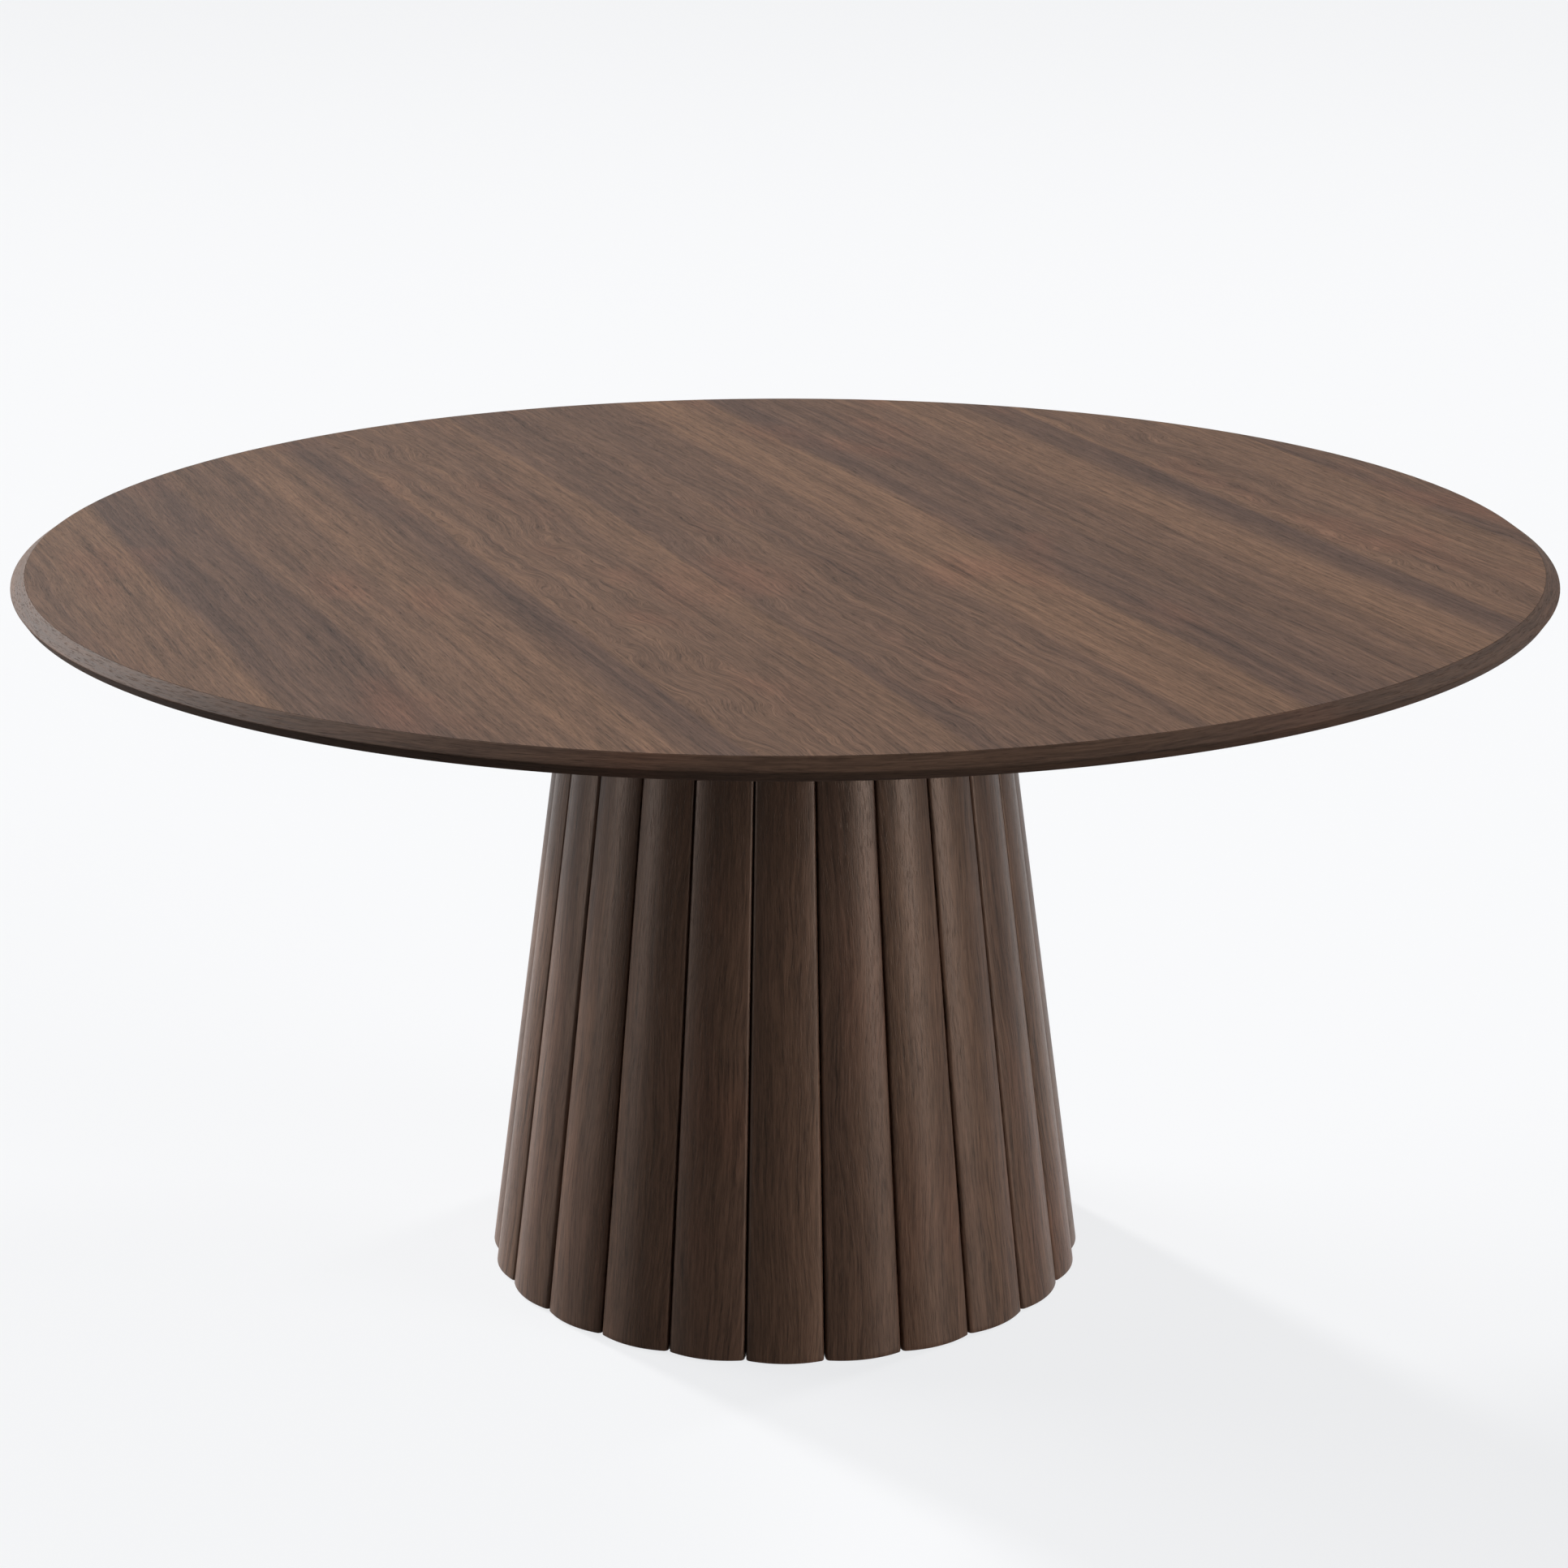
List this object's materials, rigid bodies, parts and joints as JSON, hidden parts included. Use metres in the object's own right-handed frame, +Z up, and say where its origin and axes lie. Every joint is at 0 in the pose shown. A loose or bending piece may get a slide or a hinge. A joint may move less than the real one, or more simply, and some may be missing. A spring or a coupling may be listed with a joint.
{
  "type": "tilt top table",
  "caption": "Round walnut dining table with a bevelled tilting top, locked by a hand bolt, on a wide conical pedestal of vertical convex flutes.",
  "frame": {"origin": "on the floor under the middle of the table", "axes": "+Z up, -Y to the front, where the catch is; the top tilts about an axis along X at the back"},
  "size_m": [1.4998, 1.4998, 0.745],
  "materials": {
    "top_veneer": "satin walnut veneer, diagonal strips",
    "edge_walnut": "satin solid walnut",
    "fluted_walnut": "satin walnut, vertical grain",
    "dark_hardwood": "dark stained hardwood, matt",
    "plywood": "raw plywood",
    "painted_steel": "black powder coat",
    "steel_fixings": "zinc-plated steel",
    "brass": "satin brass",
    "felt": "dark felt",
    "rubber": "black rubber"
  },
  "bodies": {
    "pedestal": {"head_block": "dark_hardwood", "rest_pads": "felt", "pivot_rod": "steel_fixings", "pivot_washers": "steel_fixings", "pivot_nuts": "steel_fixings", "catch_keeper": "brass", "keeper_screws": "brass", "block_bolts": "steel_fixings", "block_washers": "steel_fixings", "cap_board": "dark_hardwood", "post_screws": "steel_fixings", "core_shell": "plywood", "middle_rib": "plywood", "inner_posts": "plywood", "base_board": "plywood", "ballast_ring": "painted_steel", "ballast_screws": "steel_fixings", "floor_pads": "felt", "stave_01": "fluted_walnut", "stave_02": "fluted_walnut", "stave_03": "fluted_walnut", "stave_04": "fluted_walnut", "stave_05": "fluted_walnut", "stave_06": "fluted_walnut", "stave_07": "fluted_walnut", "stave_08": "fluted_walnut", "stave_09": "fluted_walnut", "stave_10": "fluted_walnut", "stave_11": "fluted_walnut", "stave_12": "fluted_walnut", "stave_13": "fluted_walnut", "stave_14": "fluted_walnut", "stave_15": "fluted_walnut", "stave_16": "fluted_walnut", "stave_17": "fluted_walnut", "stave_18": "fluted_walnut", "stave_19": "fluted_walnut", "stave_20": "fluted_walnut", "stave_21": "fluted_walnut", "stave_22": "fluted_walnut", "stave_23": "fluted_walnut", "stave_24": "fluted_walnut"},
    "top": {"top_panel": "top_veneer", "top_lipping": "edge_walnut", "stiffener_front": "painted_steel", "stiffener_back": "painted_steel", "stiffener_screws": "steel_fixings", "bearer_left": "dark_hardwood", "bearer_right": "dark_hardwood", "bearer_screws": "steel_fixings", "pivot_bush_left": "brass", "pivot_bush_right": "brass", "tilt_buffers": "rubber", "catch_case": "brass", "catch_screws": "brass", "catch_leaf": "steel_fixings"},
    "bolt": {"catch_bolt": "steel_fixings", "catch_knob": "brass"}
  },
  "joints": [
    {"name": "top_tilt", "type": "hinge", "parent": "pedestal", "child": "top", "pos_m": [0, 0.195, 0.69], "axis": [-1, 0, 0], "range_deg": [0, 84]},
    {"name": "catch_slide", "type": "slide", "parent": "top", "child": "bolt", "axis": [0, 1, 0], "range_m": [0, 0.012]}
  ]
}
